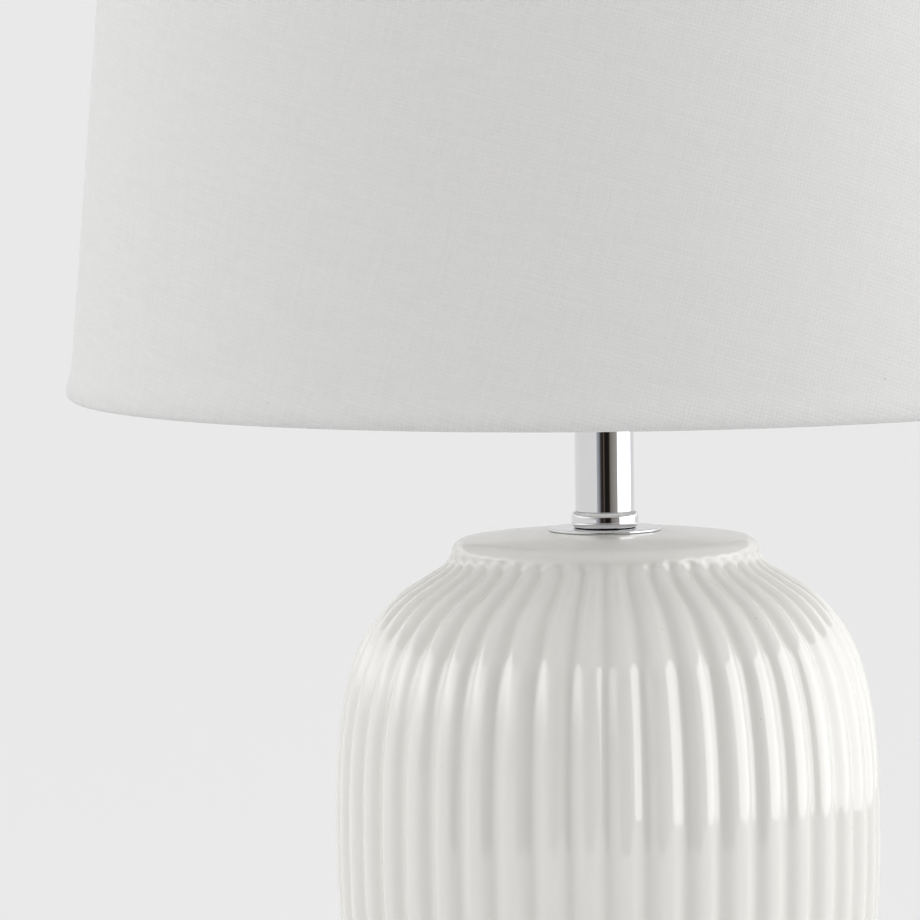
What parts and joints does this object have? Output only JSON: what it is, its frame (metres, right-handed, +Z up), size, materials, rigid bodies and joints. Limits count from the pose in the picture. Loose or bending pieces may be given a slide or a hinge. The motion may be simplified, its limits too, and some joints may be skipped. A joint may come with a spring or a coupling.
{
  "type": "table lamp",
  "caption": "Table lamp with a ribbed, white glazed ceramic body, a chrome neck and a tapered white fabric drum shade.",
  "frame": {"origin": "centre of the footprint, at the underside of the felt base", "axes": "+Z up along the lamp's axis, +Y towards the back where the cable leaves, -Y the front"},
  "size_m": [0.38, 0.38, 0.501],
  "materials": {
    "glazed_ceramic": "clear gloss glaze over white stoneware",
    "felt": "pressed wool felt",
    "zinc_steel": "bright zinc plate",
    "brass": "turned",
    "white_plastic": "moulded, semi-gloss",
    "chrome": "polished",
    "ceramic_insert": "unglazed steatite",
    "nickel_brass": "nickel plated",
    "white_enamel": "white powder coat",
    "shade_lining": "translucent white styrene sheet",
    "shade_fabric": "fine linen and cotton weave",
    "solder": "tinned",
    "black_glass": "glassy insulator",
    "bulb_plastic": "satin",
    "aluminium": "plain sheet",
    "opal_globe": "opal diffuser"
  },
  "bodies": {
    "stand": {"ceramic_body": "glazed_ceramic", "base_felt": "felt", "base_plate": "zinc_steel", "base_lock_washer": "zinc_steel", "base_nut": "brass", "threaded_tube": "zinc_steel", "cable_bush": "white_plastic", "top_disc": "chrome", "collar_ring": "chrome", "neck_tube": "chrome", "lampholder_cap": "white_plastic", "cap_grub_screw": "zinc_steel", "lampholder_core": "ceramic_insert", "terminal_screws": "brass", "centre_contact": "brass", "screw_shell": "nickel_brass", "lampholder_skirt": "white_plastic"},
    "shade_nut": {"shade_ring": "white_plastic"},
    "shade": {"fitter_ring": "white_enamel", "lower_wire": "white_enamel", "upper_wire": "white_enamel", "spider_arm_rear": "white_enamel", "spider_arm_left": "white_enamel", "spider_arm_right": "white_enamel", "shade_liner": "shade_lining", "shade_cover": "shade_fabric"},
    "bulb_lift": {"bulb_tip": "solder"},
    "bulb": {"bulb_insulator": "black_glass", "bulb_cap": "nickel_brass", "bulb_housing": "bulb_plastic", "bulb_led_board": "aluminium", "bulb_globe": "opal_globe"}
  },
  "joints": [
    {"name": "shade_turn", "type": "hinge", "parent": "stand", "child": "shade", "pos_m": [0, 0, 0.306], "axis": [0, 0, 1], "continuous": true},
    {"name": "ring_turn", "type": "hinge", "parent": "stand", "child": "shade_nut", "pos_m": [0, 0, 0.311], "axis": [0, 0, 1], "range_deg": [0, 40]},
    {"name": "bulb_rise", "type": "slide", "parent": "stand", "child": "bulb_lift", "axis": [0, 0, 1], "range_m": [0, 0.02187]},
    {"name": "bulb_turn", "type": "hinge", "parent": "bulb_lift", "child": "bulb", "pos_m": [0, 0, 0.32], "axis": [0, 0, 1], "range_deg": [0, 2160]}
  ],
  "couplings": [
    {"joint": "bulb_rise", "follows": "bulb_turn", "m_per_rad": 0.00057757}
  ]
}
